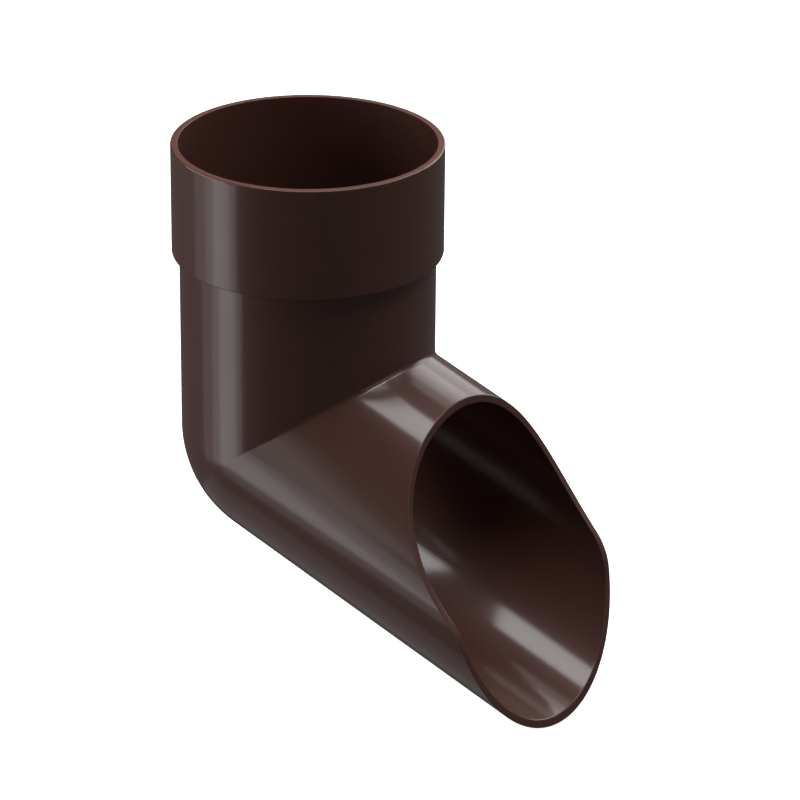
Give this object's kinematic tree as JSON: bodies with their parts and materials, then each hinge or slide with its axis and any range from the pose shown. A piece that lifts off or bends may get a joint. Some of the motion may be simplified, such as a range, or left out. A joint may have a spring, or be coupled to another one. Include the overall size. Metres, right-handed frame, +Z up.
{
  "type": "downspout elbow",
  "caption": "Moulded outlet elbow for a round rainwater downspout: socket on top, 72 degree bend with a ball-shaped heel, and a spout cut off along an S-shaped line.",
  "frame": {"origin": "centre of the socket's mouth, where the pipe enters", "axes": "+Z up along the socket's axis, out of its mouth; +X the way the spout points; the elbow is symmetric about the XZ plane"},
  "size_m": [0.1519, 0.09, 0.179],
  "materials": {
    "brown_pvc": "smooth glossy injection-moulded PVC, dark chocolate brown through and through"
  },
  "bodies": {
    "root": {"downspout_elbow": "brown_pvc"}
  },
  "joints": []
}
